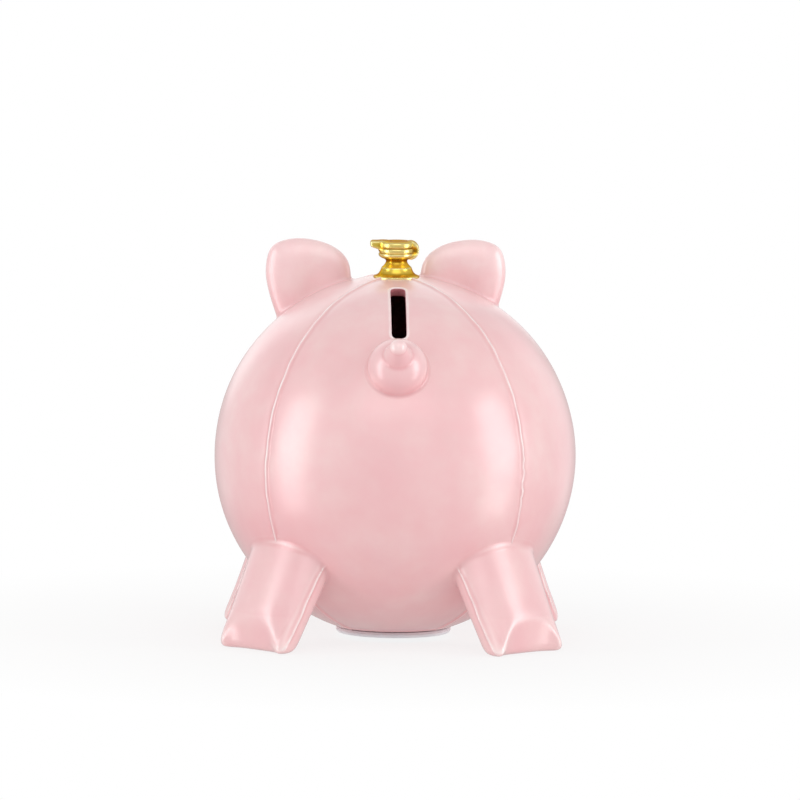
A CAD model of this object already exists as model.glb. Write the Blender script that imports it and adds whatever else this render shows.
import math

import bpy
import numpy as np
from mathutils import Matrix, Vector


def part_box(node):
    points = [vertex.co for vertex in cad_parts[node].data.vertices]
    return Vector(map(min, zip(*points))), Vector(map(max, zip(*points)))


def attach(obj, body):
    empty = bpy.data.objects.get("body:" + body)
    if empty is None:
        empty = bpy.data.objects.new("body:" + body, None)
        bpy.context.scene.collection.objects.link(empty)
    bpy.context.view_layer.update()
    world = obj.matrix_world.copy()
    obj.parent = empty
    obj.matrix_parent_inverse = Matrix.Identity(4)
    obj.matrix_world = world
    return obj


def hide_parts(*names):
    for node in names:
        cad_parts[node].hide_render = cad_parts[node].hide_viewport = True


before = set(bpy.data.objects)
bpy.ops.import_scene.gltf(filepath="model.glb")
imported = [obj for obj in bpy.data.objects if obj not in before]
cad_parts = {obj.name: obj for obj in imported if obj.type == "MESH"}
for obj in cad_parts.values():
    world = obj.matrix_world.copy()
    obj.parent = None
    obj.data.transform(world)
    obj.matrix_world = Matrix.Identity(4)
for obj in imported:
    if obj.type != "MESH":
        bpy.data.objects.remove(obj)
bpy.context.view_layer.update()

# A ceramic coin bank in the form of an inflatable ball pig.
# Shapes are worked out in millimetres from the centre of the round body. The pig
# faces -Y and +X is its left side. Named angles are in degrees, azimuths run from
# +X towards +Y, and latitudes run up from level.
MM = 0.001


def box_mm(node):
    """Lowest and highest corners of a CAD node, in millimetres."""
    low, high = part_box(node)
    return np.array(low) / MM, np.array(high) / MM


# ------------------------ sizes
SHELL_LOW, SHELL_HIGH = box_mm("body_shell")
RADIUS = SHELL_HIGH[0]
WALL = 4.0
BEAD_PROUD = 0.6
BEAD_HALF_WIDTH = 0.62
CENTRE_Z = SHELL_HIGH[2] - RADIUS - BEAD_PROUD
UNDERSIDE = SHELL_LOW[2] - CENTRE_Z
HOLE_RADIUS = 17.0
HOLE_CLEARANCE = 0.05

SLOT_AZIMUTH = 91.6
SLOT_LATITUDE = 60.3
SLOT_LENGTH = 33.0
SLOT_WIDTH = 5.8
SLOT_CORNER = 2.1
SLOT_LIP = 0.45

TAIL_AZIMUTH = 90.8
TAIL_LATITUDE = 35.0

# The clip range is in metres.
CAMERA_ELEVATION = 6.5
CAMERA_DISTANCE = 9000.0
CAMERA_ROLL = 0.5
CAMERA_RISE = 21.3
CAMERA_SHIFT = 1.8
CAMERA_CLIP = (0.1, 30.0)
PICTURE_WIDTH = 309.7


# ------------------------ fields
# A field gives each point a signed distance, negative inside the shape.
def smooth_min(a, b, reach):
    """Union of two fields with a soft fillet about as wide as reach."""
    near = np.maximum(reach - np.abs(a - b), 0.0) / reach
    return np.minimum(a, b) - near ** 3 * reach / 6.0


def smooth_max(a, b, reach):
    """Overlap of two fields with a softened edge."""
    return -smooth_min(-a, -b, reach)


def length(points):
    """Length of each vector."""
    return np.sqrt((points ** 2).sum(axis=-1))


def bump(distance, width):
    """Bell curve, 1 at zero distance."""
    return np.exp(-(distance / width) ** 2)


def groove(distance, depth, place, width):
    """Shallow groove at a distance from a line."""
    return depth * bump(distance - place, width)


def sines(parts, place, shift=1.0):
    """Sum of sines, each with its size and its beats along the place and the shift."""
    return sum(size * np.sin(beat * place + drift * shift) for size, beat, drift in parts)


SLOW_WAVE = 0.10
FAST_WAVE = 0.05
WAVE_SINK = 0.12
SKIN_REACH = 8.0


def ripple(direction, beats, phase):
    """Sine across the ball, with its beats along x, y and z."""
    return np.sin(direction @ np.array(beats) + phase)


def waves(direction):
    """Slight unevenness of the hand-finished ball, in millimetres, by direction."""
    slow = ripple(direction, (5.1, 0.0, 2.0), 0.7) * ripple(direction, (0.0, -1.9, 4.3), 1.3)
    fast = ripple(direction, (6.0, 11.0, 0.0), 2.1) * ripple(direction, (4.0, 0.0, 9.0), -0.4)
    return SLOW_WAVE * slow + FAST_WAVE * fast - WAVE_SINK


def on_skin(points):
    """Points near the ball moved with its unevenness."""
    reach = length(points)
    share = np.clip(1.0 - (reach - RADIUS) / SKIN_REACH, 0.0, 1.0)
    direction = points / reach[..., None]
    return points + direction * (waves(direction) * share)[..., None]


FILLET_SINK = 0.21
FILLET_PROUD = 0.012
LUTED_DEPTH = 2.2


def luted(shape, fillet, collar=3.0):
    """Field of a piece joined to the ball by a fillet that runs out into its skin."""
    def field(points):
        own = shape(points)
        ball = length(points) - RADIUS
        joined = smooth_min(own, ball, fillet)
        sunk = FILLET_SINK * np.clip((own - fillet) / collar, 0.0, 1.0)
        outer = joined + sunk - FILLET_PROUD
        return np.maximum(np.maximum(outer, -(ball + LUTED_DEPTH)), own - fillet - collar)
    return field


# ------------------------ meshing
SLOPE_FLOOR = 0.05
DRAWS_A_PASS = 2


def slope(field, points, gap=0.02):
    """Gradient of a field at each point."""
    parts = []
    for axis in range(3):
        shift = np.zeros(3)
        shift[axis] = gap
        parts.append((field(points + shift) - field(points - shift)) / (2.0 * gap))
    return np.stack(parts, axis=-1)


def settled(field, points, quads, step, passes):
    """Points evened out over the surface and drawn onto it."""
    start = quads.ravel()
    end = np.roll(quads, -1, axis=1).ravel()
    count = np.bincount(start, minlength=len(points)) + np.bincount(end, minlength=len(points))
    for turn in range(passes):
        if turn:
            total = np.zeros_like(points)
            for axis in range(3):
                total[:, axis] = np.bincount(start, points[end, axis], len(points))
                total[:, axis] += np.bincount(end, points[start, axis], len(points))
            points = 0.5 * points + 0.5 * total / count[:, None]
        for _ in range(DRAWS_A_PASS):
            normal = slope(field, points)
            move = field(points) / np.maximum((normal ** 2).sum(axis=-1), SLOPE_FLOOR)
            points = points - normal * np.clip(move, -step, step)[:, None]
    return points


def net(field, low, high, step, passes=4):
    """Points and quads of the closed surface where a field is zero."""
    axes = [np.arange(a, b + step, step) for a, b in zip(low, high)]
    grid = np.stack(np.meshgrid(*axes, indexing="ij"), axis=-1)
    inside = field(grid.reshape(-1, 3)).reshape(grid.shape[:3]) < 0.0
    cells = tuple(n - 1 for n in inside.shape)
    filled = np.zeros(cells, dtype=int)
    for i, j, k in np.ndindex(2, 2, 2):
        filled += inside[i:i + cells[0], j:j + cells[1], k:k + cells[2]]
    crossed = (filled > 0) & (filled < 8)
    index = np.full(cells, -1)
    index[crossed] = np.arange(crossed.sum())
    points = grid[:-1, :-1, :-1][crossed] + step / 2.0
    quads = []
    for axis in range(3):
        order = (axis, (axis + 1) % 3, (axis + 2) % 3)
        within = np.moveaxis(inside, order, (0, 1, 2))
        cell = np.moveaxis(index, order, (0, 1, 2))
        low_side = within[:-1, 1:-1, 1:-1]
        high_side = within[1:, 1:-1, 1:-1]
        around = (cell[:, :-1, :-1], cell[:, 1:, :-1], cell[:, 1:, 1:], cell[:, :-1, 1:])
        ring = np.stack(around, axis=-1)
        quads.append(ring[low_side & ~high_side])
        quads.append(ring[~low_side & high_side][:, ::-1])
    quads = np.concatenate(quads)
    return settled(field, points, quads, step, passes), quads


def rounded(corners, radii, steps=5):
    """Outline through (radius, height) corners, each rounded by its own amount."""
    corners = [np.array(c, dtype=float) for c in corners]
    out = [corners[0]]
    for before, corner, after, radius in zip(corners, corners[1:], corners[2:], radii):
        if radius == 0:
            out.append(corner)
            continue
        first = corner + (before - corner) / length(before - corner) * radius
        last = corner + (after - corner) / length(after - corner) * radius
        for t in np.linspace(0.0, 1.0, steps):
            out.append((1 - t) ** 2 * first + 2 * t * (1 - t) * corner + t * t * last)
    return np.array(out + [corners[-1]])


def through(points, steps):
    """Smooth open curve through points."""
    points = np.array(points, dtype=float)
    padded = np.vstack([2 * points[0] - points[1], points, 2 * points[-1] - points[-2]])
    out = []
    for i in range(len(points) - 1):
        p0, p1, p2, p3 = padded[i:i + 4]
        for t in np.arange(steps) / steps:
            bend = (2 * p0 - 5 * p1 + 4 * p2 - p3) * t * t + (3 * p1 - p0 - 3 * p2 + p3) * t ** 3
            out.append(0.5 * (2 * p1 + (p2 - p0) * t + bend))
    return np.array(out + [points[-1]])


def spun(profile, steps):
    """Closed solid turned from (radius, height) points that start and end on the axis."""
    angles = 2.0 * np.pi * np.arange(steps) / steps
    rows = profile[1:-1]
    x = rows[:, :1] * np.cos(angles)
    y = rows[:, :1] * np.sin(angles)
    z = np.repeat(rows[:, 1:], steps, axis=1)
    points = np.stack([x, y, z], axis=-1).reshape(-1, 3)
    first, last = len(points), len(points) + 1
    points = np.vstack([points, [0, 0, profile[0][1]], [0, 0, profile[-1][1]]])
    faces = []
    for j in range(steps):
        k = (j + 1) % steps
        faces.append((first, k, j))
        for i in range(len(rows) - 1):
            a, b = i * steps, (i + 1) * steps
            faces.append((a + j, a + k, b + k, b + j))
        tail_row = (len(rows) - 1) * steps
        faces.append((tail_row + j, tail_row + k, last))
    return points, faces


def mark_ridges(mesh, passes, relief):
    """Stores how convex each point is, in 1/mm, for the glazes."""
    count = len(mesh.vertices)
    points, normals = np.empty(count * 3), np.empty(count * 3)
    mesh.vertices.foreach_get("co", points)
    mesh.vertex_normals.foreach_get("vector", normals)
    points, normals = points.reshape(-1, 3) / MM, normals.reshape(-1, 3)
    edges = np.empty(len(mesh.edges) * 2, dtype=int)
    mesh.edges.foreach_get("vertices", edges)
    start, end = edges.reshape(-1, 2).T
    along = points[end] - points[start]
    square = np.maximum((along ** 2).sum(axis=1), 1e-6)
    bend = np.bincount(start, -2.0 * (normals[start] * along).sum(axis=1) / square, count)
    bend += np.bincount(end, 2.0 * (normals[end] * along).sum(axis=1) / square, count)
    valence = np.maximum(np.bincount(start, minlength=count) + np.bincount(end, minlength=count), 1)
    bend /= valence
    for _ in range(passes):
        around = np.bincount(start, bend[end], count) + np.bincount(end, bend[start], count)
        bend = 0.5 * bend + 0.5 * around / valence
    mesh.attributes.new("ridge", "FLOAT", "POINT").data.foreach_set("value", relief * bend)


def placed(name, data):
    """A new object in the scene."""
    thing = bpy.data.objects.new(name, data)
    bpy.context.scene.collection.objects.link(thing)
    return thing


def add_piece(node, material, points, faces, body="bank", passes=2, relief=1.0):
    """A finished piece that stands for a CAD node, from points in millimetres."""
    metres = (np.asarray(points) + (0.0, 0.0, CENTRE_Z)) * MM
    mesh = bpy.data.meshes.new(node + "_form")
    mesh.from_pydata(metres.tolist(), [], [tuple(face) for face in faces])
    mesh.shade_smooth()
    mesh.update()
    mark_ridges(mesh, passes, relief)
    mesh.materials.append(material)
    piece = placed(node + "_form", mesh)
    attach(piece, body)
    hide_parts(node)
    return piece


def about_z(points, azimuth):
    """Points turned about Z from the +X direction."""
    c, s = math.cos(math.radians(azimuth)), math.sin(math.radians(azimuth))
    return points @ np.array(((c, s, 0), (-s, c, 0), (0, 0, 1)))


def outward(azimuth, latitude):
    """Unit vector from the ball's centre."""
    level = math.cos(math.radians(latitude))
    a = math.radians(azimuth)
    return np.array((level * math.cos(a), level * math.sin(a), math.sin(math.radians(latitude))))


# ------------------------ body
# The ball is a grid of rows, by polar angle down from the top, and columns, by
# azimuth. Inside these functions both angles are in radians. The last rows stop a
# gap short of the flat underside.
ROWS = 130
PANEL_STEPS = 48
SEAM_COUNT = 4
FIRST_SEAM = 45.0
BESIDE_SEAM = (0.0, 0.18, 0.36, 0.54, 0.75, 1.0, 1.35, 1.9, 2.8)
BESIDE_LIMIT = 30.0
TOP_ROW = 1.25
LAST_GAP = 1.2
INNER_GAP = 1.0
BASE_ROUNDINGS = (1.2, 0.7, 0.7, 0.6)
CLAY_ROWS = 4

# The weld beads' unevenness: sizes, and beats a radian of polar angle and azimuth.
# A groove beside a weld has its depth, its distance from the weld and its width.
BEAD_WANDER = ((0.14, 17.0, 3.0), (0.10, 43.0, 1.0))
BEAD_LUMPS = ((0.11, 31.0, 5.0), (0.07, 67.0, 0.0))
BEAD_MEAN = 0.82
BEAD_GROOVE = (0.12, 1.5, 0.6)

# A stretch of one seam where the weld is ragged. Its polar angle and its spreads
# down the seam and across it are in radians.
RAGGED_POLAR = 1.63
RAGGED_AZIMUTH = 135.0
RAGGED_SPREADS = (0.13, 0.3)
RAGGED_WANDER = ((0.45, 68.0, 0.0),)
RAGGED_LUMPS = ((0.45, 101.0, 0.0),)


def column_azimuths(polar):
    """Azimuths of one row's points: close beside each seam and even across each panel."""
    reach = RADIUS * math.sin(polar)
    beside = np.array(BESIDE_SEAM) / reach
    beside *= min(1.0, math.radians(BESIDE_LIMIT) / beside[-1])
    turn = 2.0 * math.pi / SEAM_COUNT
    panel = np.linspace(beside[-1], turn - beside[-1], PANEL_STEPS + 1)[1:-1]
    quarter = np.concatenate([beside, panel, (turn - beside[1:])[::-1]])
    seams = [math.radians(FIRST_SEAM) + turn * number for number in range(SEAM_COUNT)]
    return np.concatenate([seam + quarter for seam in seams])


def bead_height(polar, azimuth):
    """Height of the weld bead, uneven along its run, with a groove beside it."""
    offset = azimuth % (2.0 * math.pi / SEAM_COUNT) - math.radians(FIRST_SEAM)
    ragged = bump(polar - RAGGED_POLAR, RAGGED_SPREADS[0])
    ragged = ragged * bump(azimuth - math.radians(RAGGED_AZIMUTH), RAGGED_SPREADS[1])
    wander = sines(BEAD_WANDER, polar, azimuth) + ragged * sines(RAGGED_WANDER, polar, azimuth)
    distance = np.abs(RADIUS * np.arcsin(np.sin(polar) * np.sin(offset)) - wander)
    lumps = sines(BEAD_LUMPS, polar, azimuth) + ragged * sines(RAGGED_LUMPS, polar, azimuth)
    bead = BEAD_PROUD * (BEAD_MEAN + lumps) * bump(distance, BEAD_HALF_WIDTH)
    return bead - groove(distance, *BEAD_GROOVE)


def skin_point(polar, azimuth, radius, outer):
    """Point on the outer or inner face of the ball."""
    direction = np.stack([
        np.sin(polar) * np.cos(azimuth),
        np.sin(polar) * np.sin(azimuth),
        np.cos(polar) * np.ones_like(azimuth),
    ], axis=-1)
    reach = np.full(azimuth.shape, radius)
    if outer:
        reach = reach + waves(direction) + bead_height(polar, azimuth)
    return direction * reach[:, None]


# The slot's own directions: out of its face, along its short side and its long one.
SLOT_NORMAL = outward(SLOT_AZIMUTH, SLOT_LATITUDE)
SLOT_ACROSS = outward(SLOT_AZIMUTH - 90.0, 0.0)
SLOT_ALONG = np.cross(SLOT_NORMAL, SLOT_ACROSS)

# The glaze swells towards the slot: distance out from its edge, and rise.
SLOT_APRON = 2.6
SLOT_SWELL = ((SLOT_APRON, 0.0), (1.9, 0.02), (1.4, 0.06), (1.0, 0.11))
SLOT_EDGE_RISE = 0.13
SLOT_BACK = 2.0


def slot_outline(counts):
    """Maker of the slot's outline at a margin outside it, with counts of points on its sides."""
    half = np.array((SLOT_WIDTH / 2, SLOT_LENGTH / 2))
    corners = half * ((1, -1), (-1, -1), (-1, 1), (1, 1))
    sides = zip(corners, np.roll(corners, -1, axis=0), counts)
    spots = np.concatenate([np.linspace(*ends, count, endpoint=False) for *ends, count in sides])
    nearest = np.clip(spots, SLOT_CORNER - half, half - SLOT_CORNER)
    away = (spots - nearest) / length(spots - nearest)[:, None]

    def outline(margin):
        return nearest + away * (SLOT_CORNER + margin)
    return outline


def slot_blend(loop, outline, share):
    """Flat spots between a loop of the ball's grid and an outline of the slot."""
    flat = np.stack([loop @ SLOT_ACROSS, loop @ SLOT_ALONG], axis=-1)
    return flat * (1 - share) + outline * share


def slot_ring(spots, rise, outer):
    """Flat spots laid on the ball's outer or inner face, then raised square to the slot."""
    radius = RADIUS if outer else RADIUS - WALL
    height = np.sqrt(radius ** 2 - (spots ** 2).sum(axis=-1))
    points = spots[:, :1] * SLOT_ACROSS + spots[:, 1:] * SLOT_ALONG + height[:, None] * SLOT_NORMAL
    if outer:
        points = on_skin(points)
    return points + rise * SLOT_NORMAL


def slot_lip(first, last, count):
    """Margins and drops of a quarter round, from its first angle to its last."""
    angles = np.radians(np.linspace(first, last, count))
    return zip(SLOT_LIP * (1.0 - np.sin(angles)), SLOT_LIP * (1.0 - np.cos(angles)))


def slot_rings(outer_loop, inner_loop, counts):
    """Rings of points: in to the slot over its outer lip, and from its inner lip out again."""
    outline = slot_outline(counts)
    apron = outline(SLOT_APRON)
    outer = [(slot_blend(outer_loop, apron, share), 0.0) for share in (0.25, 0.5, 0.75)]
    outer += [(outline(margin), rise) for margin, rise in SLOT_SWELL]
    outer += [(outline(margin), SLOT_EDGE_RISE - drop) for margin, drop in slot_lip(10.0, 90.0, 6)]
    inner = [(outline(margin), drop) for margin, drop in slot_lip(90.0, 0.0, 5)]
    inner.append((slot_blend(inner_loop, outline(SLOT_BACK), 0.5), 0.0))
    outer_rings = [slot_ring(spots, rise, True) for spots, rise in outer]
    inner_rings = [slot_ring(spots, rise, False) for spots, rise in inner]
    return outer_rings, inner_rings


def arc_point(radius, polar):
    """Distance from the axis, and height, of a point on a ball's outline."""
    return radius * math.sin(polar), radius * math.cos(polar)


def body_points():
    """Rows of points down the outside, round the stopper's hole and up the inside."""
    inner_radius = RADIUS - WALL
    inner_floor = UNDERSIDE + WALL
    outer_end = math.acos(UNDERSIDE / RADIUS)
    inner_end = math.acos(inner_floor / inner_radius)
    polars = np.linspace(math.radians(TOP_ROW), outer_end - math.radians(LAST_GAP), ROWS)
    inner_polars = polars[polars < inner_end - math.radians(INNER_GAP)]
    rows = [skin_point(polar, column_azimuths(polar), RADIUS, True) for polar in polars]
    corners = (
        arc_point(RADIUS, polars[-1]),
        arc_point(RADIUS, outer_end),
        (HOLE_RADIUS + HOLE_CLEARANCE, UNDERSIDE),
        (HOLE_RADIUS + HOLE_CLEARANCE, inner_floor),
        arc_point(inner_radius, inner_end),
        arc_point(inner_radius, inner_polars[-1]),
    )
    last = column_azimuths(polars[-1])
    for reach, height in rounded(corners, BASE_ROUNDINGS)[1:-1]:
        ring = (reach * np.cos(last), reach * np.sin(last), np.full(last.shape, height))
        rows.append(np.stack(ring, axis=-1))
    inside_from = len(rows)
    for polar in inner_polars[::-1]:
        rows.append(skin_point(polar, column_azimuths(polar), inner_radius, False))
    return rows, polars, inside_from


# The stretch of the grid that gives way to the slot; its rows are polar angles.
PATCH_HALF_COLUMNS = 12
PATCH_TOP = 13.7
PATCH_LOW = 45.7


def patch_limits(polars):
    """First and last rows, and first and last columns, of the patch for the slot."""
    top = int(np.abs(polars - math.radians(PATCH_TOP)).argmin())
    low = int(np.abs(polars - math.radians(PATCH_LOW)).argmin())
    middle = int(np.abs(column_azimuths(polars[low]) - math.pi / 2).argmin())
    return top, low, middle - PATCH_HALF_COLUMNS, middle + PATCH_HALF_COLUMNS


def patch_rim(top, low, left, right):
    """Rows and columns of the grid's points, once round the patch."""
    cells = [(top, j) for j in range(left, right)]
    cells += [(i, right) for i in range(top, low)]
    cells += [(low, j) for j in range(right, left, -1)]
    cells += [(i, left) for i in range(low, top, -1)]
    return cells


def grid_faces(row_count, columns, open_rows, left, right):
    """Faces between neighbouring rows, except from left to right in the open rows."""
    faces = []
    for i in range(row_count - 1):
        for j in range(columns):
            if i in open_rows and left <= j < right:
                continue
            k = (j + 1) % columns
            near, far = i * columns, (i + 1) * columns
            faces.append((near + j, far + j, far + k, near + k))
    return faces


def slot_faces(points, outer_loop, inner_loop, counts):
    """The points with the slot's rings, its faces, and which of those are bare clay."""
    outer_rings, inner_rings = slot_rings(points[outer_loop], points[inner_loop], counts)
    loops = [outer_loop]
    for ring in outer_rings + inner_rings:
        loops.append(list(range(len(points), len(points) + len(ring))))
        points = np.vstack([points, ring])
    loops.append(inner_loop)
    faces, inside = [], []
    for number, (near, far) in enumerate(zip(loops, loops[1:])):
        for i in range(len(near)):
            k = (i + 1) % len(near)
            faces.append((near[i], far[i], far[k], near[k]))
            inside.append(number >= len(outer_rings))
    return points, faces, inside


def pole_faces(points, columns, inner_row):
    """The points with the poles, the faces round them, and which of those are bare clay."""
    outer_pole, inner_pole = len(points), len(points) + 1
    outer_height = RADIUS + waves(np.array((0.0, 0.0, 1.0)))
    points = np.vstack([points, (0, 0, outer_height), (0, 0, RADIUS - WALL)])
    faces, inside = [], []
    for j in range(columns):
        k = (j + 1) % columns
        faces.append((outer_pole, j, k))
        faces.append((inner_pole, inner_row + k, inner_row + j))
        inside += [False, True]
    return points, faces, inside


def body_mesh():
    """The hollow body in one closed surface; also says which faces are bare clay."""
    rows, polars, inside_from = body_points()
    columns = len(rows[0])
    top, low, left, right = patch_limits(polars)
    last_row = len(rows) - 1
    rim = patch_rim(top, low, left, right)
    outer_loop = [i * columns + j for i, j in rim]
    inner_loop = [(last_row - i) * columns + j for i, j in rim]
    open_rows = set(range(top, low)) | {last_row - 1 - i for i in range(top, low)}
    faces = grid_faces(len(rows), columns, open_rows, left, right)
    inside = [face[0] // columns >= inside_from - CLAY_ROWS for face in faces]
    counts = (right - left, low - top, right - left, low - top)
    points, slot_quads, slot_inside = slot_faces(np.vstack(rows), outer_loop, inner_loop, counts)
    points, pole_triangles, pole_inside = pole_faces(points, columns, last_row * columns)
    return points, faces + slot_quads + pole_triangles, inside + slot_inside + pole_inside


def add_body(pink, clay):
    """The ball, with the slot's lip glazed and its wall and the inside bare."""
    points, faces, inside = body_mesh()
    body = add_piece("body_shell", pink, points, faces, passes=1)
    body.data.materials.append(clay)
    body.data.polygons.foreach_set("material_index", np.array(inside, dtype=int))


# ------------------------ legs
# A leg is worked out on the +X side: out runs along X from its tilted middle, y
# runs across it and height runs up from the sole. First, each leg's azimuth and
# whether it is a mirrored copy.
LEG_AZIMUTHS = {
    "leg_rear_left": (43.5, False),
    "leg_rear_right": (134.0, True),
    "leg_front_right": (227.0, False),
    "leg_front_left": (315.0, True),
}
LEG_TILT = 30.0
LEG_SOLE_RADIUS = 74.3
LEG_SEAM_SHIFT = 1.0
LEG_OUTER_DEPTH = 8.8
LEG_INNER_DEPTH = 10.8
LEG_GAIN = 0.13
LEG_GAIN_REACH = 30.0
LEG_OUTER_POWER = 1.9
LEG_INNER_POWER = 3.2
LEG_HALF_WIDTH = 17.8
LEG_WIDENING = 0.05
LEG_SOLE_ROUND = 5.5
LEG_STEEP_FLOOR = 0.03
TINY = 1e-6

LEG_WELD = 0.6
LEG_WELD_WIDTH = 0.55
LEG_WELD_GROOVE = (0.06, 1.4, 0.6)
LEG_WELD_WOBBLE = ((0.22, 0.30, 1.0), (0.10, 0.73, 0.0))
LEG_WELD_LUMPS = ((0.15, 0.5, 2.0),)
LEG_WELD_MEAN = 0.85

# Hollow beside the pinched end: its place is a share of the leg's half width.
LEG_HOLLOW = 2.0
LEG_HOLLOW_PLACE = 0.74
LEG_HOLLOW_WIDTHS = (4.6, 15.0)
LEG_HOLLOW_RUN_IN = 3.0

LEG_FACET_SOLE = 74.0
LEG_FACET_LEAN = 0.116
LEG_FACET_HEIGHT = 14.6
LEG_SCOOP = 6.0
LEG_SCOOP_LIMIT = 0.84


def leg_panels(out, depth_gain, share, half_width):
    """Field of a padded outer panel and a flatter inner one; share is 1 at the leg's sides."""
    outer = out > 0
    depth = np.where(outer, LEG_OUTER_DEPTH + depth_gain, LEG_INNER_DEPTH)
    power = np.where(outer, LEG_OUTER_POWER, LEG_INNER_POWER)
    deep = np.abs(out) / depth + TINY
    ring = (deep ** power + share ** power) ** (1.0 / power)
    steep = np.sqrt((deep ** (power - 1) / depth) ** 2 + (share ** (power - 1) / half_width) ** 2)
    steep = steep * ring ** (1.0 - power)
    return (ring - 1.0) / np.maximum(steep, LEG_STEEP_FLOOR)


def leg_weld(out, height, share):
    """Height of the weld along the leg's sides: uneven, and low at the sole."""
    place = out - sines(LEG_WELD_WOBBLE, height)
    bead = LEG_WELD * (LEG_WELD_MEAN + sines(LEG_WELD_LUMPS, height)) * bump(place, LEG_WELD_WIDTH)
    side = np.clip((share - 0.6) / 0.3, 0.0, 1.0)
    height_share = np.clip((height - 3.0) / 4.0, 0.2, 1.0)
    return (bead - groove(np.abs(place), *LEG_WELD_GROOVE)) * side * height_share


def leg_hollow(out, y, height, half_width):
    """Depth of the hollow on one side of the outer panel."""
    across, up = LEG_HOLLOW_WIDTHS
    hollow = bump(y - LEG_HOLLOW_PLACE * half_width, across) * bump(height, up)
    return LEG_HOLLOW * hollow * np.clip(out / LEG_HOLLOW_RUN_IN, 0.0, 1.0)


def leg_shape(softness):
    """Field of a leg that splays towards +X and is pinched off in a scooped facet."""
    def field(points):
        x, y, z = np.moveaxis(points, -1, 0)
        height = z + CENTRE_Z
        axis = LEG_SOLE_RADIUS - height * math.tan(math.radians(LEG_TILT))
        out = x - axis - LEG_SEAM_SHIFT
        half_width = LEG_HALF_WIDTH + LEG_WIDENING * height
        depth_gain = LEG_GAIN * np.clip(height - LEG_FACET_HEIGHT, 0.0, LEG_GAIN_REACH)
        share = np.abs(y) / half_width + TINY
        body = leg_panels(out, depth_gain, share, half_width)
        body = body - leg_weld(out, height, share) + leg_hollow(out, y, height, half_width)
        scoop = LEG_SCOOP * np.minimum(share, LEG_SCOOP_LIMIT) ** 4
        facet = x - LEG_FACET_SOLE - LEG_FACET_LEAN * height - scoop
        body = smooth_max(body, facet, softness)
        return smooth_max(body, -height, LEG_SOLE_ROUND)
    return field


# The short bead of clay where the leg's outer panel meets the ball.
TOP_WELD = 1.1
TOP_WELD_Y = 5.5
TOP_WELD_RISE = 0.9
TOP_WELD_HALF_SIZES = (6.0, 0.7, 0.8)
TOP_WELD_LOW = -45.0


def leg_with_weld(softness):
    """The leg's luted field, with the short bead of clay."""
    shape = leg_shape(softness)
    joined = luted(shape, 1.9, 2.0)
    half_length, half_width, half_height = TOP_WELD_HALF_SIZES

    def field(points):
        own = shape(points)
        ball = length(points) - RADIUS
        bead = TOP_WELD * bump(points[..., 1] - TOP_WELD_Y, half_length)
        bead = bead * bump(own - ball, half_width) * bump(own + ball - TOP_WELD_RISE, half_height)
        return joined(points) - bead * (points[..., 2] > TOP_WELD_LOW)
    return field


LEG_SOFTNESS = {True: 2.2, False: 4.6}
LEG_LOW = (32.0, -27.0, -CENTRE_Z - 2.0)
LEG_HIGH = (90.0, 27.0, -20.0)
LEG_STEP = 0.55


def add_legs(material):
    """Four legs from two nets; the mirrored legs have crisper facets."""
    forms = {flipped: net(leg_with_weld(softness), LEG_LOW, LEG_HIGH, LEG_STEP)
             for flipped, softness in LEG_SOFTNESS.items()}
    for node, (azimuth, flipped) in LEG_AZIMUTHS.items():
        form, faces = forms[flipped]
        if flipped:
            form, faces = form * (1.0, -1.0, 1.0), faces[:, ::-1]
        add_piece(node, material, on_skin(about_z(form, azimuth)), faces)


# ------------------------ tail
# The base dome's radius and height, then the tier's two heights and its radii there.
TAIL_BASE = (11.4, 10.2)
TAIL_BASE_FOOT = 1.0
TAIL_TIER = (9.6, 16.6)
TAIL_TIER_RADII = (5.7, 3.3)
TAIL_TIER_FILLET = 0.7


def tail_shape(points):
    """Field of the two stacked domes."""
    radius, height = TAIL_BASE
    low, high = TAIL_TIER
    wide, narrow = TAIL_TIER_RADII
    normal = outward(TAIL_AZIMUTH, TAIL_LATITUDE)
    up = points @ normal - RADIUS
    side = length(points - (up + RADIUS)[..., None] * normal)
    dome_up = np.maximum(up - TAIL_BASE_FOOT, 0.0)
    dome = (np.sqrt((side / radius) ** 2 + (dome_up / height) ** 2) - 1.0) * height
    share = np.clip((up - low) / (high - low), 0.0, 1.0)
    spine = low + share * (high - low)
    width = wide + share * (narrow - wide)
    tier = np.sqrt(side ** 2 + (up - spine) ** 2) - width
    return smooth_min(dome, tier, TAIL_TIER_FILLET)


# ------------------------ ears
EAR_OFFSET = 4.2
EAR_Y = -15.0
EAR_MIDDLE = 30.0
EAR_HALF_THICKNESS = 4.4
EAR_ROLL = 11.0
EAR_OUTLINE = (
    (15.0, 55.0), (13.4, 66.5), (15.4, 75.2), (23.0, 80.6), (34.5, 82.3),
    (43.6, 79.4), (46.4, 71.5), (45.2, 61.5), (40.0, 46.0),
)
EAR_CURVE = through(EAR_OUTLINE, 5)
EAR_LEAN = 0.0016
EAR_LEAN_FROM = 56.0
EAR_LEAN_REACH = 40.0
EAR_YAW = 0.12
EAR_FOLD = 1.3
EAR_FOLD_PLACE = (27.0, 62.0)
EAR_FOLD_WIDTHS = (7.0, 9.0)
FAR = 1e9
LEVEL = 1e-9


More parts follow.
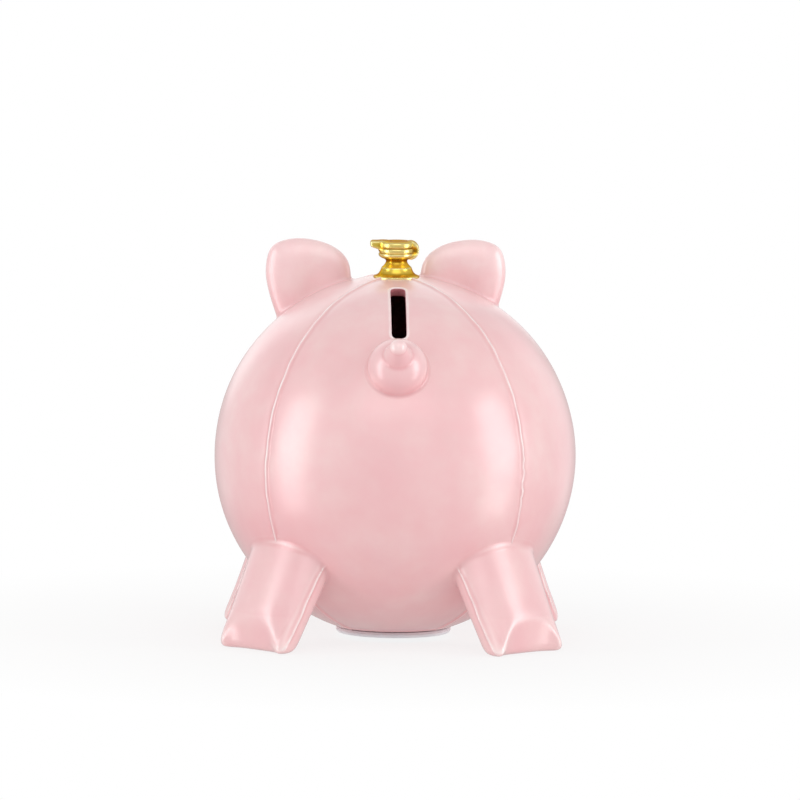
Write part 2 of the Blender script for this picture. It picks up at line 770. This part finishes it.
def outline_depth(spots, outline):
    """Distance of flat points inside an outline, negative outside it."""
    nearest = np.full(spots.shape[:-1], FAR)
    inside = np.zeros(spots.shape[:-1], dtype=bool)
    for start, end in zip(outline, np.roll(outline, -1, axis=0)):
        along = end - start
        share = np.clip(((spots - start) @ along) / (along @ along), 0.0, 1.0)
        nearest = np.minimum(nearest, length(spots - start - share[..., None] * along))
        straddles = (start[1] > spots[..., 1]) != (end[1] > spots[..., 1])
        rise = along[1] if abs(along[1]) > LEVEL else LEVEL
        crossing = start[0] + (spots[..., 1] - start[1]) * along[0] / rise
        inside ^= straddles & (spots[..., 0] < crossing)
    return np.where(inside, nearest, -nearest)


def ear_shape(side):
    """Field of a petal-shaped pillow; side is 1 for +X and -1 for -X."""
    def field(points):
        across = side * (points[..., 0] - EAR_OFFSET)
        height = points[..., 2]
        depth = outline_depth(np.stack([across, height], axis=-1), EAR_CURVE)
        lean = EAR_LEAN * np.clip(height - EAR_LEAN_FROM, 0.0, EAR_LEAN_REACH) ** 2
        fold = EAR_FOLD * bump(across - EAR_FOLD_PLACE[0], EAR_FOLD_WIDTHS[0])
        fold = fold * bump(height - EAR_FOLD_PLACE[1], EAR_FOLD_WIDTHS[1])
        out = points[..., 1] - EAR_Y + lean + EAR_YAW * (across - EAR_MIDDLE) + fold
        edge = (EAR_ROLL - np.minimum(depth, EAR_ROLL)) * EAR_HALF_THICKNESS / EAR_ROLL
        return np.sqrt(edge ** 2 + out ** 2) - EAR_HALF_THICKNESS
    return field


# ------------------------ snout and eyes
SNOUT_RADIUS = 19.0
SNOUT_FRONT = 76.0
SNOUT_RIM_ROUND = 6.0
SNOUT_SWELL = 0.5
SNOUT_SWELL_WIDTH = 12.0
SNOUT_WELD = 0.9
SNOUT_WELD_INSET = 1.1
SNOUT_WELD_FILLET = 1.4
NOSTRIL_ACROSS = 7.0
NOSTRIL_DEPTH = 3.0
NOSTRIL_HALF_SIZES = (3.1, NOSTRIL_DEPTH, 4.6)
NOSTRIL_LIP = 1.3

EYE_AZIMUTH = 24.0
EYE_LATITUDE = 25.0
EYE_RADIUS = 5.2
EYE_HEIGHT = 2.5
EYE_SINK = 0.8


def snout_shape(points):
    """Field of a short drum with a weld round its front rim and two nostrils."""
    x, z = points[..., 0], points[..., 2]
    reach = np.sqrt(x ** 2 + z ** 2)
    front = -points[..., 1]
    face = front - SNOUT_FRONT + SNOUT_SWELL * bump(reach, SNOUT_SWELL_WIDTH)
    drum = smooth_max(reach - SNOUT_RADIUS, face, SNOUT_RIM_ROUND)
    weld = np.sqrt((reach - SNOUT_RADIUS + SNOUT_WELD_INSET) ** 2
                   + (front - SNOUT_FRONT + SNOUT_WELD_INSET) ** 2) - SNOUT_WELD
    drum = smooth_min(drum, weld, SNOUT_WELD_FILLET)
    for side in (-1, 1):
        pit = np.stack([x - side * NOSTRIL_ACROSS, front - SNOUT_FRONT, z], axis=-1)
        pit = pit / NOSTRIL_HALF_SIZES
        drum = smooth_max(drum, -(length(pit) - 1.0) * NOSTRIL_DEPTH, NOSTRIL_LIP)
    return drum


def eye_normal(side):
    """Direction of an eye; side is 1 for +X and -1 for -X."""
    return outward(-90.0 + side * EYE_AZIMUTH, EYE_LATITUDE)


def eye_shape(side):
    """Field of a low glossy dome."""
    normal = eye_normal(side)

    def field(points):
        up = points @ normal - RADIUS
        reach = length(points - (up + RADIUS)[..., None] * normal)
        rise = (up + EYE_SINK) / EYE_HEIGHT
        return (np.sqrt((reach / EYE_RADIUS) ** 2 + rise ** 2) - 1.0) * EYE_HEIGHT
    return field


def around(centre, reach):
    """Corners of a cube about a point."""
    return centre - reach, centre + reach


def add_luted(node, material, form, corners, step, relief=1.0):
    """A piece from a luted field, moved onto the ball's uneven skin."""
    points, quads = net(form, *corners, step)
    add_piece(node, material, on_skin(points), quads, relief=relief)


def add_tail(pink):
    """The tail, with a tight fillet."""
    corners = around(outward(TAIL_AZIMUTH, TAIL_LATITUDE) * (RADIUS + 5.0), 22.0)
    add_luted("tail", pink, luted(tail_shape, 1.6, 1.0), corners, 0.5, 0.8)


def add_ears(pink):
    """Both ears."""
    for node, side in (("ear_left", 1), ("ear_right", -1)):
        middle = side * EAR_MIDDLE + EAR_OFFSET
        corners = ((middle - 27.0, -31.0, 38.0), (middle + 27.0, 2.0, 86.0))
        add_luted(node, pink, luted(ear_shape(side), 2.6, 2.4), corners, 0.65, 0.6)


def add_face(pink, black):
    """The snout and both eyes."""
    corners = ((-27.0, -78.0, -27.0), (27.0, -58.0, 27.0))
    add_luted("snout", pink, luted(snout_shape, 3.0), corners, 0.5)
    for node, side in (("eye_left", 1), ("eye_right", -1)):
        corners = around(eye_normal(side) * RADIUS, 8.0)
        add_luted(node, black, luted(eye_shape(side), 0.7, 0.8), corners, 0.3)


# ------------------------ valve
# The stem's outline as (radius, height), from the ball up to the collar's top.
STEM_PROFILE = (
    (0.0, 66.0), (8.6, 67.0), (8.95, 69.3), (8.75, 69.85), (7.9, 70.2), (7.1, 70.7), (6.55, 71.4),
    (6.1, 72.3), (5.8, 73.1), (5.3, 73.6), (4.65, 74.3), (4.2, 75.1), (4.15, 75.8), (4.7, 76.4),
    (5.8, 76.85), (6.6, 77.4), (6.95, 78.0), (6.9, 78.6), (6.3, 78.85), (0.0, 78.85),
)

# The cap's two plates: middle height, half thickness and rounding of the rim.
CAP_RADIUS = 6.95
CAP_LOWER = (79.8, 1.15, 1.9)
CAP_UPPER = (81.97, 1.35, 2.2)
CAP_GROOVE = 0.35
CAP_DISH_RADIUS = 24.0
CAP_DISH_CENTRE = 107.1
CAP_DISH_EDGE = 0.7

# The pull tab runs out along +X, rises, thins and narrows past its neck.
TAB_START = 3.0
TAB_NECK = 6.0
TAB_END = 10.25
TAB_HALF_WIDTH = 3.6
TAB_TAPER = 0.02
TAB_TAPER_FROM = 4.0
TAB_TAPER_LIMIT = 7.0
TAB_MIDDLE = 81.75
TAB_RISE = 0.15
TAB_HALF_HEIGHT = 1.75
TAB_THINNING = 0.13
TAB_ROUNDINGS = (1.4, 1.6, 0.5)
TAB_FILLET = 1.6


def cap_plate(reach, z, middle, half_thickness, rounding):
    """Field of a round plate of the cap."""
    return smooth_max(reach - CAP_RADIUS, np.abs(z - middle) - half_thickness, rounding)


def pull_tab(x, y, z):
    """Field of the cap's pull tab."""
    edge_round, end_round, start_round = TAB_ROUNDINGS
    half_width = TAB_HALF_WIDTH - TAB_TAPER * np.clip(x - TAB_TAPER_FROM, 0.0, TAB_TAPER_LIMIT) ** 2
    middle = TAB_MIDDLE + TAB_RISE * (x - TAB_NECK)
    thick = TAB_HALF_HEIGHT - TAB_THINNING * (x - TAB_NECK)
    tab = smooth_max(np.abs(y) - half_width, np.abs(z - middle) - thick, edge_round)
    return smooth_max(smooth_max(tab, x - TAB_END, end_round), TAB_START - x, start_round)


def cap_shape(points):
    """Field of the grooved plug cap with its dished top and pull tab."""
    x, y, z = np.moveaxis(points, -1, 0)
    reach = np.sqrt(x ** 2 + y ** 2)
    cap = smooth_min(cap_plate(reach, z, *CAP_LOWER), cap_plate(reach, z, *CAP_UPPER), CAP_GROOVE)
    cap = smooth_min(cap, pull_tab(x, y, z), TAB_FILLET)
    dish = length(points - (0.0, 0.0, CAP_DISH_CENTRE)) - CAP_DISH_RADIUS
    return smooth_max(cap, -dish, CAP_DISH_EDGE)


# The strap is a slice of an upright roll; both places are (x, height).
STRAP_PLACE = (-5.4, 79.9)
STRAP_RADIUS = 3.3
STRAP_STRETCH = 1.12
STRAP_HALF_WIDTH = 2.6
STRAP_ROUND = 1.6
DIMPLE_PLACE = (-6.9, 79.8)
DIMPLE_RADIUS = 1.9
DIMPLE_OUT = 3.6
DIMPLE_SQUASH = 1.1
DIMPLE_EDGE = 1.0


def strap_shape(points):
    """Field of the strap from the cap back to the collar, with a dimple in each side."""
    x, y, z = np.moveaxis(points, -1, 0)
    upright = (z - STRAP_PLACE[1]) / STRAP_STRETCH
    roll = np.sqrt((x - STRAP_PLACE[0]) ** 2 + upright ** 2) - STRAP_RADIUS
    form = smooth_max(roll, np.abs(y) - STRAP_HALF_WIDTH, STRAP_ROUND)
    inward = DIMPLE_SQUASH * (np.abs(y) - DIMPLE_OUT)
    away = np.sqrt((x - DIMPLE_PLACE[0]) ** 2 + (z - DIMPLE_PLACE[1]) ** 2 + inward ** 2)
    return smooth_max(form, DIMPLE_RADIUS - away, DIMPLE_EDGE)


def add_valve(gold):
    """The turned stem, then the cap and the strap."""
    profile = np.vstack([STEM_PROFILE[:1], through(STEM_PROFILE[1:-1], 4), STEM_PROFILE[-1:]])
    points, faces = spun(profile, 96)
    add_piece("valve_stem", gold, points, faces)
    points, quads = net(cap_shape, (-7.6, -7.6, 77.5), (11.2, 7.6, 84.4), 0.2)
    add_piece("valve_cap", gold, points, quads)
    points, quads = net(strap_shape, (-9.6, -3.4, 75.8), (-1.8, 3.4, 83.8), 0.16)
    add_piece("valve_strap", gold, points, quads)


# ------------------------ stopper
STOPPER_LOW, STOPPER_HIGH = box_mm("stopper")
STOPPER_BASE = STOPPER_LOW[2] - CENTRE_Z
STOPPER_TOP = STOPPER_HIGH[2] - CENTRE_Z
STOPPER_RIM = STOPPER_HIGH[0]
STOPPER_FLANGE = 2.2
DISH_DEPTH = 1.1
DISH_RADII = (11.6, 12.9)
CUP_RADIUS = 14.5
CUP_FLOOR = 3.3
RIB_CLEARANCE = 0.08
STOPPER_RIBS = (0.30, 0.55, 0.80)
RIB_PROUD = 0.35
RIB_HALF_WIDTH = 0.7

BAR_HALF_LENGTH = 6.6
BAR_HALF_WIDTH = 1.6
BAR_MIDDLE = 1.1
BAR_HALF_HEIGHT = 1.0


def bar_shape(points):
    """Field of the moulded pull bar across the stopper's dish."""
    x, y, z = np.moveaxis(points, -1, 0)
    bar = smooth_max(np.abs(x) - BAR_HALF_LENGTH, np.abs(y) - BAR_HALF_WIDTH, 1.5)
    return smooth_max(bar, np.abs(z - STOPPER_BASE - BAR_MIDDLE) - BAR_HALF_HEIGHT, 0.8)


def stopper_profile():
    """Outline of the dish underneath, the flange, the ribbed skirt and the cup inside."""
    dish = STOPPER_BASE + DISH_DEPTH
    shoulder = STOPPER_BASE + STOPPER_FLANGE
    cup_floor = STOPPER_BASE + CUP_FLOOR
    crest = HOLE_RADIUS - RIB_CLEARANCE
    skirt = crest - RIB_PROUD
    inner, outer = DISH_RADII
    corners = [(0, dish), (inner, dish), (outer, STOPPER_BASE), (STOPPER_RIM - 0.8, STOPPER_BASE),
               (STOPPER_RIM, STOPPER_BASE + 0.9), (STOPPER_RIM, shoulder), (skirt, shoulder)]
    roundings = [0.4, 0.5, 0.6, 0.5, 0.8, 0.25]
    for rib in STOPPER_RIBS:
        level = shoulder + rib * (STOPPER_TOP - shoulder)
        corners += [(skirt, level - RIB_HALF_WIDTH), (crest, level), (skirt, level + RIB_HALF_WIDTH)]
        roundings += [0.2, 0.2, 0.2]
    corners += [(crest - 0.6, STOPPER_TOP), (CUP_RADIUS, STOPPER_TOP),
                (CUP_RADIUS, cup_floor), (0, cup_floor)]
    roundings += [0.3, 0.4, 0.7]
    return rounded(corners, roundings)


def add_stopper(rubber):
    """The turned plug and its pull bar, as one piece that slides out."""
    points, faces = spun(stopper_profile(), 120)
    low, high = (-8.0, -3.0, STOPPER_BASE - 1.0), (8.0, 3.0, STOPPER_BASE + 3.5)
    bar_points, bar_quads = net(bar_shape, low, high, 0.25)
    faces = list(faces) + (bar_quads + len(points)).tolist()
    add_piece("stopper", rubber, np.vstack([points, bar_points]), faces, "stopper")


# ------------------------ materials
def new_material(name, values):
    """A material, its nodes and its shader, with the shader's even values."""
    material = bpy.data.materials.new(name)
    material.use_nodes = True
    tree = material.node_tree
    shader = tree.nodes["Principled BSDF"]
    for entry, value in values.items():
        shader.inputs[entry].default_value = value
    return material, tree, shader


def ramp_of(tree, value, span, stops):
    """Colours spread over a span of a value."""
    ramp = tree.nodes.new("ShaderNodeValToRGB")
    while len(ramp.color_ramp.elements) < len(stops):
        ramp.color_ramp.elements.new(0.5)
    for element, (place, colour) in zip(ramp.color_ramp.elements, stops):
        element.position = place
        element.color = (*colour, 1.0)
    tree.links.new(scaled(tree, value, span, (0.0, 1.0)), ramp.inputs["Fac"])
    return ramp.outputs["Color"]


def ridge_of(tree):
    """How convex the surface is, in 1/mm."""
    attribute = tree.nodes.new("ShaderNodeAttribute")
    attribute.attribute_name = "ridge"
    return attribute.outputs["Fac"]


def z_of(tree, kind, output):
    """Z of one of a node's outputs."""
    source = tree.nodes.new(kind)
    parts = tree.nodes.new("ShaderNodeSeparateXYZ")
    tree.links.new(source.outputs[output], parts.inputs["Vector"])
    return parts.outputs["Z"]


def noise_of(tree, scale, detail, seed=0.0):
    """Noise that is fixed to the object, in cells per metre."""
    place = tree.nodes.new("ShaderNodeTexCoord")
    shift = tree.nodes.new("ShaderNodeMapping")
    shift.inputs["Location"].default_value = (seed, seed * 0.7, -seed)
    noise = tree.nodes.new("ShaderNodeTexNoise")
    noise.inputs["Scale"].default_value = scale
    noise.inputs["Detail"].default_value = detail
    tree.links.new(place.outputs["Object"], shift.inputs["Vector"])
    tree.links.new(shift.outputs["Vector"], noise.inputs["Vector"])
    return noise.outputs["Fac"]


def mixed(tree, share, first, colour):
    """A colour socket mixed with one more colour by a share."""
    mix = tree.nodes.new("ShaderNodeMix")
    mix.data_type = "RGBA"
    entries = {entry.identifier: entry for entry in mix.inputs}
    tree.links.new(share, entries["Factor_Float"])
    tree.links.new(first, entries["A_Color"])
    entries["B_Color"].default_value = (*colour, 1.0)
    return next(result for result in mix.outputs if result.type == "RGBA")


def scaled(tree, value, span, result):
    """A value moved from one span onto another, and held at its ends."""
    spread = tree.nodes.new("ShaderNodeMapRange")
    for name, number in zip(("From Min", "From Max", "To Min", "To Max"), (*span, *result)):
        spread.inputs[name].default_value = number
    tree.links.new(value, spread.inputs["Value"])
    return spread.outputs["Result"]


def roughen(tree, shader, noise, strength, distance):
    """Fine relief from a noise; the distance is in metres."""
    bump_node = tree.nodes.new("ShaderNodeBump")
    bump_node.inputs["Strength"].default_value = strength
    bump_node.inputs["Distance"].default_value = distance
    tree.links.new(noise, bump_node.inputs["Height"])
    tree.links.new(bump_node.outputs["Normal"], shader.inputs["Normal"])


def pink_glaze():
    """Pink glaze over white clay: paler where it thins on ridges, deeper where it pools."""
    material, tree, shader = new_material("pink_glaze", {
        "Coat Weight": 1.0,
        "Coat Roughness": 0.27,
        "Specular IOR Level": 0.6,
    })
    thickness = ramp_of(tree, ridge_of(tree), (-0.35, 0.55), (
        (0.0, (0.76, 0.36, 0.38)),
        (0.30, (0.82, 0.46, 0.475)),
        (0.42, (0.855, 0.525, 0.54)),
        (0.52, (0.89, 0.61, 0.617)),
        (0.64, (0.97, 0.80, 0.79)),
        (0.80, (1.0, 0.95, 0.94)),
    ))
    height = z_of(tree, "ShaderNodeTexCoord", "Object")
    thin = scaled(tree, height, (0.12, 0.15), (0.0, 0.55))
    thinned = mixed(tree, thin, thickness, (1.0, 0.86, 0.865))
    upness = z_of(tree, "ShaderNodeNewGeometry", "Normal")
    deep = scaled(tree, upness, (0.1, -0.6), (0.0, 0.50))
    pooled = mixed(tree, deep, thinned, (0.95, 0.36, 0.39))
    cloud = scaled(tree, noise_of(tree, 38.0, 4.0), (0.3, 0.7), (0.0, 0.60))
    clouded = mixed(tree, cloud, pooled, (0.93, 0.70, 0.68))
    warm = scaled(tree, noise_of(tree, 110.0, 5.0, 4.0), (0.3, 0.7), (0.0, 0.50))
    tinted = mixed(tree, warm, clouded, (0.88, 0.49, 0.52))
    tree.links.new(tinted, shader.inputs["Base Color"])
    gloss = scaled(tree, noise_of(tree, 60.0, 2.0, 9.0), (0.2, 0.8), (0.28, 0.40))
    tree.links.new(gloss, shader.inputs["Roughness"])
    roughen(tree, shader, noise_of(tree, 160.0, 2.0, 2.0), 0.14, 0.0006)
    return material


def two_toned(name, values, tones, grain, relief):
    """A material that drifts between two tones; grain and relief start with a noise's settings."""
    material, tree, shader = new_material(name, values)
    stops = ((0.0, tones[0]), (1.0, tones[1]))
    tone = ramp_of(tree, noise_of(tree, *grain), (0.3, 0.7), stops)
    tree.links.new(tone, shader.inputs["Base Color"])
    scale, detail, strength, distance = relief
    roughen(tree, shader, noise_of(tree, scale, detail), strength, distance)
    return material


def raw_clay():
    """Unglazed clay inside the body."""
    tones = ((0.56, 0.17, 0.20), (0.70, 0.28, 0.30))
    return two_toned("raw_clay", {"Roughness": 0.85}, tones, (700.0, 6.0), (900.0, 4.0, 0.4, 0.0004))


def gold_lustre():
    """Fired gold lustre: brushed on by hand, darker in the creases."""
    material, tree, shader = new_material("gold_lustre", {
        "Metallic": 0.9,
        "Specular Tint": (0.35, 0.17, 0.02, 1.0),
    })
    tone = ramp_of(tree, ridge_of(tree), (-0.6, 0.9), (
        (0.0, (0.25, 0.08, 0.002)),
        (0.26, (0.62, 0.33, 0.015)),
        (0.44, (1.0, 0.76, 0.13)),
        (0.85, (1.0, 0.90, 0.44)),
    ))
    patch = scaled(tree, noise_of(tree, 180.0, 2.0, 1.0), (0.3, 0.8), (0.0, 0.35))
    worn = mixed(tree, patch, tone, (0.80, 0.50, 0.05))
    tree.links.new(worn, shader.inputs["Base Color"])
    gloss = scaled(tree, noise_of(tree, 200.0, 2.0, 5.0), (0.3, 0.7), (0.24, 0.34))
    tree.links.new(gloss, shader.inputs["Roughness"])
    roughen(tree, shader, noise_of(tree, 300.0, 2.0, 7.0), 0.05, 0.0004)
    return material


def black_glaze():
    """Black painted glaze with a brown tinge."""
    tones = ((0.010, 0.008, 0.009), (0.026, 0.016, 0.018))
    return two_toned("black_glaze", {
        "Roughness": 0.12,
        "Specular IOR Level": 0.3,
        "Coat Weight": 0.25,
        "Coat Roughness": 0.04,
    }, tones, (400.0, 2.0), (260.0, 2.0, 0.12, 0.0004))


def clear_rubber():
    """Milky soft rubber, slightly see-through."""
    tones = ((0.88, 0.89, 0.94), (0.95, 0.955, 0.98))
    return two_toned("clear_rubber", {
        "Roughness": 0.38,
        "Transmission Weight": 0.12,
        "IOR": 1.42,
    }, tones, (120.0, 3.0), (800.0, 3.0, 0.12, 0.0003))


def floor_glow(tree):
    """Share of glow: more further out, and less as light on the object than to the eye."""
    place = tree.nodes.new("ShaderNodeTexCoord")
    far = tree.nodes.new("ShaderNodeVectorMath")
    far.operation = "LENGTH"
    tree.links.new(place.outputs["Object"], far.inputs[0])
    whiteness = scaled(tree, far.outputs["Value"], (0.07, 0.24), (0.80, 1.0))
    path = tree.nodes.new("ShaderNodeLightPath")
    dimmed = scaled(tree, path.outputs["Is Camera Ray"], (0.0, 1.0), (0.6, 1.0))
    seen = tree.nodes.new("ShaderNodeMath")
    seen.operation = "MULTIPLY"
    tree.links.new(whiteness, seen.inputs[0])
    tree.links.new(dimmed, seen.inputs[1])
    return seen.outputs["Value"]


def shader_mix(tree, share, first, second):
    """Two shaders mixed by a share."""
    mix = tree.nodes.new("ShaderNodeMixShader")
    for entry, value in zip(mix.inputs, (share, first, second)):
        tree.links.new(value, entry)
    return mix.outputs["Shader"]


def stage_floor():
    """Pale floor: white further out, with a faint shadow, and clear from below."""
    material, tree, shader = new_material("pale_floor", {
        "Base Color": (0.78, 0.77, 0.77, 1.0),
        "Roughness": 0.8,
        "Specular IOR Level": 0.1,
    })
    glow = tree.nodes.new("ShaderNodeEmission")
    lit = shader_mix(tree, floor_glow(tree), shader.outputs["BSDF"], glow.outputs["Emission"])
    side = tree.nodes.new("ShaderNodeNewGeometry")
    clear = tree.nodes.new("ShaderNodeBsdfTransparent")
    shown = shader_mix(tree, side.outputs["Backfacing"], lit, clear.outputs["BSDF"])
    tree.links.new(shown, tree.nodes["Material Output"].inputs["Surface"])
    return material


# ------------------------ stage
FLOOR_HALF = 6.0

# Each soft box: name, place in metres, width and height in metres, and watts.
SOFT_BOXES = (
    ("left_box", (1.30, 0.50, 0.12), (0.50, 1.6), 9.2),
    ("right_box", (-1.28, 0.45, 0.12), (0.52, 1.6), 10.8),
    ("left_edge", (1.0, -1.1, 0.3), (0.8, 1.4), 0.8),
    ("right_edge", (-1.0, -1.1, 0.3), (0.8, 1.4), 1.5),
    ("back_box", (0.0, 1.3, 1.3), (1.6, 0.9), 5.5),
    ("face_box", (0.4, -2.4, 1.2), (2.6, 2.2), 12.0),
)


def add_floor():
    """A square floor under the soles."""
    mesh = bpy.data.meshes.new("floor")
    corners = [(FLOOR_HALF * x, FLOOR_HALF * y, 0) for x, y in ((-1, -1), (1, -1), (1, 1), (-1, 1))]
    mesh.from_pydata(corners, [], [(0, 1, 2, 3)])
    mesh.materials.append(stage_floor())
    floor = placed("floor", mesh)
    floor.visible_glossy = False


def add_light(name, place, size, power):
    """Soft box that faces the object's middle."""
    data = bpy.data.lights.new(name, "AREA")
    data.shape = "RECTANGLE"
    data.size, data.size_y = size
    data.energy = power
    light = placed(name, data)
    light.location = place
    aim = Vector((0.0, 0.0, CENTRE_Z * MM)) - Vector(place)
    light.rotation_euler = aim.to_track_quat("-Z", "Y").to_euler()


def add_world():
    """White to the eye, a softer even light on the object and a dimmer surround in its gloss."""
    world = bpy.data.worlds.new("studio")
    world.use_nodes = True
    tree = world.node_tree
    seen = tree.nodes["Background"]
    seen.inputs["Color"].default_value = (1.0, 1.0, 1.0, 1.0)
    seen.inputs["Strength"].default_value = 1.0
    lit = tree.nodes.new("ShaderNodeBackground")
    lit.inputs["Color"].default_value = (1.0, 0.985, 0.975, 1.0)
    path = tree.nodes.new("ShaderNodeLightPath")
    strength = scaled(tree, path.outputs["Is Glossy Ray"], (0.0, 1.0), (0.64, 0.50))
    tree.links.new(strength, lit.inputs["Strength"])
    backdrop = shader_mix(tree, path.outputs["Is Camera Ray"], lit.outputs["Background"],
                          seen.outputs["Background"])
    tree.links.new(backdrop, tree.nodes["World Output"].inputs["Surface"])
    bpy.context.scene.world = world


def add_camera():
    """Long lens from behind, a little above, as the tail is seen."""
    tilt = math.radians(CAMERA_ELEVATION)
    back = Vector((0.0, math.cos(tilt), math.sin(tilt)))
    up = Vector((0.0, -math.sin(tilt), math.cos(tilt)))
    target = Vector((0.0, 0.0, CENTRE_Z)) + up * CAMERA_RISE + up.cross(back) * CAMERA_SHIFT
    data = bpy.data.cameras.new("camera")
    data.lens = data.sensor_width * CAMERA_DISTANCE / PICTURE_WIDTH
    data.clip_start, data.clip_end = CAMERA_CLIP
    camera = placed("camera", data)
    camera.location = (target + back * CAMERA_DISTANCE) * MM
    facing = (-back).to_track_quat("-Z", "Y").to_matrix()
    camera.rotation_euler = (facing @ Matrix.Rotation(math.radians(CAMERA_ROLL), 3, "Z")).to_euler()
    bpy.context.scene.camera = camera


# ------------------------ assembly
pink = pink_glaze()
add_body(pink, raw_clay())
add_legs(pink)
add_tail(pink)
add_ears(pink)
add_face(pink, black_glaze())
add_valve(gold_lustre())
add_stopper(clear_rubber())
add_floor()
for name, place, size, power in SOFT_BOXES:
    add_light(name, place, size, power)
add_world()
add_camera()
bpy.context.scene.view_settings.view_transform = "Standard"
